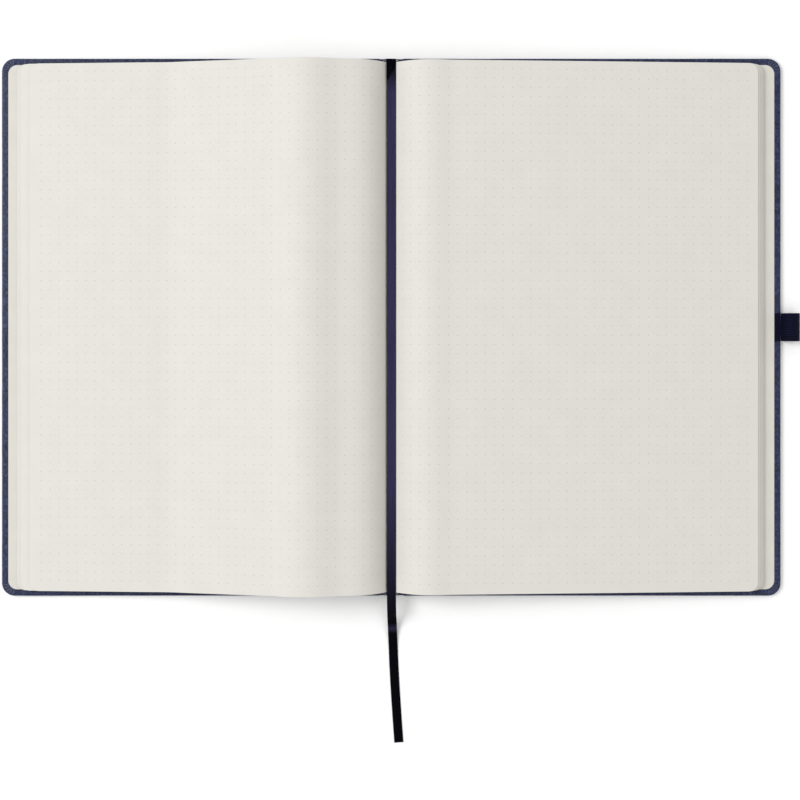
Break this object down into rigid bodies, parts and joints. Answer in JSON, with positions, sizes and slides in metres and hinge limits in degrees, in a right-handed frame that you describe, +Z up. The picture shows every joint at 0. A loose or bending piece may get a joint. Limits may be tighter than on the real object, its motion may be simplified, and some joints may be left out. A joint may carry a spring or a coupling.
{
  "type": "open hardcover notebook",
  "caption": "Hardcover dot-grid notebook lying open, with hinged leatherette covers, sewn signatures that fold shut, a ribbon marker and an elastic pen loop.",
  "frame": {"origin": "middle of the spine panel's underside", "axes": "+X across the spread to the back cover's fore edge, +Y to the head of the pages, +Z up from the table"},
  "size_m": [0.4407, 0.3787, 0.0286],
  "materials": {
    "page_paper": "uncoated ivory paper with a faint grey dot grid",
    "endpaper": "uncoated ivory paper",
    "board": "grey binder's board",
    "lining_paper": "kraft paper",
    "gauze": "open-weave cotton gauze",
    "thread": "waxed cotton thread",
    "band_cloth": "woven band",
    "ribbon": "satin ribbon",
    "elastic": "ribbed elastic webbing",
    "leatherette": "fine-grained satin leatherette"
  },
  "bodies": {
    "spine": {"spine_covering": "leatherette", "spine_stiffener": "board", "spine_lining": "lining_paper", "front_joint_skin": "leatherette", "back_joint_skin": "leatherette", "front_hollow_lining": "lining_paper", "back_hollow_lining": "lining_paper", "ribbon_marker": "ribbon", "ribbon_foot": "ribbon"},
    "front_cover": {"front_board": "board", "front_covering": "leatherette", "front_infill": "board", "front_pastedown": "endpaper"},
    "back_cover": {"back_board": "board", "back_covering": "leatherette", "back_infill": "board", "back_pastedown": "endpaper", "pen_loop_tab": "elastic"},
    "pen_loop": {"pen_loop": "elastic"},
    "front_block": {"front_mull": "gauze", "front_head_band": "band_cloth", "front_tail_band": "band_cloth", "front_thread_1": "thread", "front_thread_2": "thread", "front_thread_3": "thread", "signature_1_back": "page_paper", "signature_1_bend": "page_paper", "signature_2_back": "page_paper", "signature_2_bend": "page_paper", "signature_3_back": "page_paper", "signature_3_bend": "page_paper"},
    "back_block": {"back_mull": "gauze", "back_head_band": "band_cloth", "back_tail_band": "band_cloth", "back_thread_1": "thread", "back_thread_2": "thread", "back_thread_3": "thread", "signature_4_back": "page_paper", "signature_4_bend": "page_paper", "signature_5_back": "page_paper", "signature_5_bend": "page_paper", "signature_6_back": "page_paper", "signature_6_bend": "page_paper", "signature_7_back": "page_paper", "signature_7_bend": "page_paper", "signature_8_back": "page_paper", "signature_8_bend": "page_paper"},
    "signature_1": {"signature_1_leaves": "page_paper"},
    "signature_2": {"signature_2_leaves": "page_paper"},
    "signature_3_crest": {"signature_3_crest_leaves": "page_paper", "signature_3_crest_bend": "page_paper"},
    "signature_3": {"signature_3_leaves": "page_paper", "signature_3_dip": "page_paper"},
    "signature_3_outer": {"signature_3_outer_leaves": "page_paper"},
    "signature_8": {"signature_8_leaves": "page_paper"},
    "signature_7": {"signature_7_leaves": "page_paper"},
    "signature_6": {"signature_6_leaves": "page_paper"},
    "signature_5": {"signature_5_leaves": "page_paper"},
    "signature_4": {"signature_4_leaves": "page_paper"}
  },
  "joints": [
    {"name": "front_cover_hinge", "type": "hinge", "parent": "spine", "child": "front_cover", "pos_m": [-0.006, 0, 0.00065], "axis": [0, 1, 0], "range_deg": [0, 90], "deforming": ["front_joint_skin", "ribbon_marker", "ribbon_foot"]},
    {"name": "back_cover_hinge", "type": "hinge", "parent": "spine", "child": "back_cover", "pos_m": [0.006, 0, 0.00065], "axis": [0, -1, 0], "range_deg": [0, 90], "deforming": ["back_joint_skin"]},
    {"name": "pen_loop_flex", "type": "hinge", "parent": "back_cover", "child": "pen_loop", "pos_m": [0.21582, 0, 0.00195], "axis": [0, -1, 0], "range_deg": [0, 35], "stiffness_Nm_per_rad": 0.002},
    {"name": "front_block_hinge", "type": "hinge", "parent": "spine", "child": "front_block", "pos_m": [-0.0113, 0, 0.00536], "axis": [0, 1, 0], "range_deg": [0, 45], "deforming": ["front_hollow_lining"]},
    {"name": "back_block_hinge", "type": "hinge", "parent": "spine", "child": "back_block", "pos_m": [0.00723, 0, 0.00543], "axis": [0, -1, 0], "range_deg": [0, 55], "deforming": ["back_hollow_lining"]},
    {"name": "signature_1_bend_hinge", "type": "hinge", "parent": "front_block", "child": "signature_1", "pos_m": [-0.0071, 0, 0.01155], "axis": [0, 1, 0], "range_deg": [0, 47.56], "deforming": ["signature_1_bend"]},
    {"name": "signature_2_bend_hinge", "type": "hinge", "parent": "front_block", "child": "signature_2", "pos_m": [-0.0113, 0, 0.01591], "axis": [0, 1, 0], "range_deg": [0, 48.87], "deforming": ["signature_2_bend"]},
    {"name": "signature_3_bend_hinge", "type": "hinge", "parent": "front_block", "child": "signature_3_crest", "pos_m": [-0.01395, 0, 0.02014], "axis": [0, 1, 0], "range_deg": [0, 29.5], "deforming": ["signature_3_bend"]},
    {"name": "signature_3_crest_hinge", "type": "hinge", "parent": "signature_3_crest", "child": "signature_3", "pos_m": [-0.04486, 0, 0.02871], "axis": [0, 1, 0], "range_deg": [0, 29.5], "deforming": ["signature_3_crest_bend"]},
    {"name": "signature_3_dip_hinge", "type": "hinge", "parent": "signature_3", "child": "signature_3_outer", "pos_m": [-0.12172, 0, 0.01114], "axis": [0, 1, 0], "range_deg": [-10.13, 0], "deforming": ["signature_3_dip"]},
    {"name": "signature_8_bend_hinge", "type": "hinge", "parent": "back_block", "child": "signature_8", "pos_m": [0.00576, 0, 0.00862], "axis": [0, -1, 0], "range_deg": [0, 36.66], "deforming": ["signature_8_bend"]},
    {"name": "signature_7_bend_hinge", "type": "hinge", "parent": "back_block", "child": "signature_7", "pos_m": [0.00749, 0, 0.0107], "axis": [0, -1, 0], "range_deg": [0, 37.07], "deforming": ["signature_7_bend"]},
    {"name": "signature_6_bend_hinge", "type": "hinge", "parent": "back_block", "child": "signature_6", "pos_m": [0.00989, 0, 0.01313], "axis": [0, -1, 0], "range_deg": [0, 37.62], "deforming": ["signature_6_bend"]},
    {"name": "signature_5_bend_hinge", "type": "hinge", "parent": "back_block", "child": "signature_5", "pos_m": [0.01302, 0, 0.01595], "axis": [0, -1, 0], "range_deg": [0, 38.35], "deforming": ["signature_5_bend"]},
    {"name": "signature_4_bend_hinge", "type": "hinge", "parent": "back_block", "child": "signature_4", "pos_m": [0.01716, 0, 0.01928], "axis": [0, -1, 0], "range_deg": [0, 39.34], "deforming": ["signature_4_bend"]}
  ],
  "couplings": [
    {"joint": "front_block_hinge", "follows": "front_cover_hinge", "ratio": 0.5},
    {"joint": "back_block_hinge", "follows": "back_cover_hinge", "ratio": 0.61111},
    {"joint": "signature_1_bend_hinge", "follows": "front_cover_hinge", "ratio": 0.52846},
    {"joint": "signature_2_bend_hinge", "follows": "front_cover_hinge", "ratio": 0.54296},
    {"joint": "signature_3_bend_hinge", "follows": "front_cover_hinge", "ratio": 0.32778},
    {"joint": "signature_3_crest_hinge", "follows": "front_cover_hinge", "ratio": 0.32778},
    {"joint": "signature_3_dip_hinge", "follows": "front_cover_hinge", "ratio": -0.1126},
    {"joint": "signature_8_bend_hinge", "follows": "back_cover_hinge", "ratio": 0.40735},
    {"joint": "signature_7_bend_hinge", "follows": "back_cover_hinge", "ratio": 0.41186},
    {"joint": "signature_6_bend_hinge", "follows": "back_cover_hinge", "ratio": 0.418},
    {"joint": "signature_5_bend_hinge", "follows": "back_cover_hinge", "ratio": 0.42611},
    {"joint": "signature_4_bend_hinge", "follows": "back_cover_hinge", "ratio": 0.4371}
  ]
}
